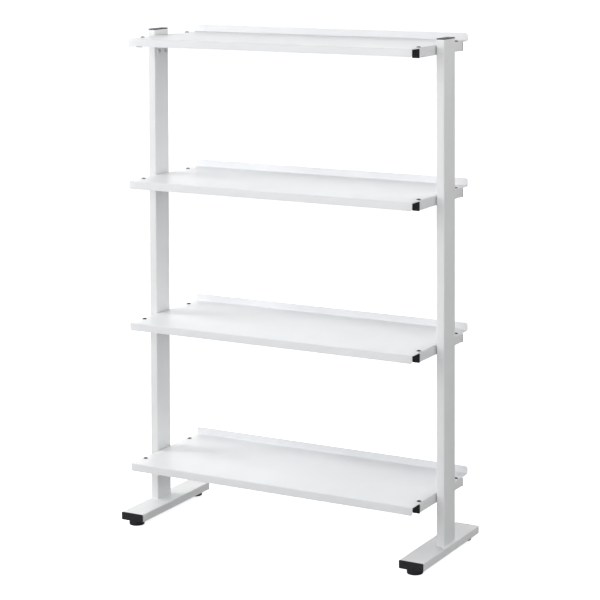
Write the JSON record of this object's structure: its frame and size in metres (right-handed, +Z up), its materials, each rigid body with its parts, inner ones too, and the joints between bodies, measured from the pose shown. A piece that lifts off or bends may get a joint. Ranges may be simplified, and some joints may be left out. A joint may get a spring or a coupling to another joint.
{
  "type": "open shelving unit",
  "caption": "Free-standing open shelf rack: T-leg side frames, folded sheet shelves with a front flange and rear lip on bracketed arms, and screw-adjusted levelling feet.",
  "frame": {"origin": "centre of the footprint at floor level", "axes": "+Z up, front faces -Y, right side is +X"},
  "size_m": [1.2, 0.46, 1.7835],
  "materials": {
    "powder_coat_white": "satin white powder coat with a fine orange peel",
    "black_plastic": "moulded black nylon with a fine spark texture",
    "black_steel": "black-coated steel fastener",
    "zinc_steel": "bright zinc plating"
  },
  "bodies": {
    "frame": {"left_upright": "powder_coat_white", "left_upright_cap": "black_plastic", "left_upright_nut_plate": "zinc_steel", "left_foot": "powder_coat_white", "left_foot_front_cap": "black_plastic", "left_foot_rear_cap": "black_plastic", "right_upright": "powder_coat_white", "right_upright_cap": "black_plastic", "right_upright_nut_plate": "zinc_steel", "right_foot": "powder_coat_white", "right_foot_front_cap": "black_plastic", "right_foot_rear_cap": "black_plastic", "foot_bolts": "zinc_steel", "leveller_nuts": "zinc_steel", "shelf_1_panel": "powder_coat_white", "shelf_1_left_arm": "powder_coat_white", "shelf_1_left_bracket": "powder_coat_white", "shelf_1_right_arm": "powder_coat_white", "shelf_1_right_bracket": "powder_coat_white", "shelf_1_arm_caps": "black_plastic", "shelf_1_screws": "black_steel", "shelf_1_arm_nuts": "zinc_steel", "shelf_1_bracket_bolts": "zinc_steel", "shelf_2_panel": "powder_coat_white", "shelf_2_left_arm": "powder_coat_white", "shelf_2_left_bracket": "powder_coat_white", "shelf_2_right_arm": "powder_coat_white", "shelf_2_right_bracket": "powder_coat_white", "shelf_2_arm_caps": "black_plastic", "shelf_2_screws": "black_steel", "shelf_2_arm_nuts": "zinc_steel", "shelf_2_bracket_bolts": "zinc_steel", "shelf_3_panel": "powder_coat_white", "shelf_3_left_arm": "powder_coat_white", "shelf_3_left_bracket": "powder_coat_white", "shelf_3_right_arm": "powder_coat_white", "shelf_3_right_bracket": "powder_coat_white", "shelf_3_arm_caps": "black_plastic", "shelf_3_screws": "black_steel", "shelf_3_arm_nuts": "zinc_steel", "shelf_3_bracket_bolts": "zinc_steel", "shelf_4_panel": "powder_coat_white", "shelf_4_left_arm": "powder_coat_white", "shelf_4_left_bracket": "powder_coat_white", "shelf_4_right_arm": "powder_coat_white", "shelf_4_right_bracket": "powder_coat_white", "shelf_4_arm_caps": "black_plastic", "shelf_4_screws": "black_steel", "shelf_4_arm_nuts": "zinc_steel", "shelf_4_bracket_bolts": "zinc_steel", "upright_weld_nuts": "zinc_steel"},
    "front_left_leveller": {"front_left_leveller_pad": "black_plastic", "front_left_leveller_stud": "zinc_steel"},
    "front_right_leveller": {"front_right_leveller_pad": "black_plastic", "front_right_leveller_stud": "zinc_steel"},
    "rear_left_leveller": {"rear_left_leveller_pad": "black_plastic", "rear_left_leveller_stud": "zinc_steel"},
    "rear_right_leveller": {"rear_right_leveller_pad": "black_plastic", "rear_right_leveller_stud": "zinc_steel"}
  },
  "joints": [
    {"name": "front_left_leveller_height", "type": "slide", "parent": "frame", "child": "front_left_leveller", "axis": [0, 0, -1], "range_m": [-0.0015, 0.0145]},
    {"name": "front_right_leveller_height", "type": "slide", "parent": "frame", "child": "front_right_leveller", "axis": [0, 0, -1], "range_m": [-0.0015, 0.0145]},
    {"name": "rear_left_leveller_height", "type": "slide", "parent": "frame", "child": "rear_left_leveller", "axis": [0, 0, -1], "range_m": [-0.0015, 0.0145]},
    {"name": "rear_right_leveller_height", "type": "slide", "parent": "frame", "child": "rear_right_leveller", "axis": [0, 0, -1], "range_m": [-0.0015, 0.0145]}
  ]
}
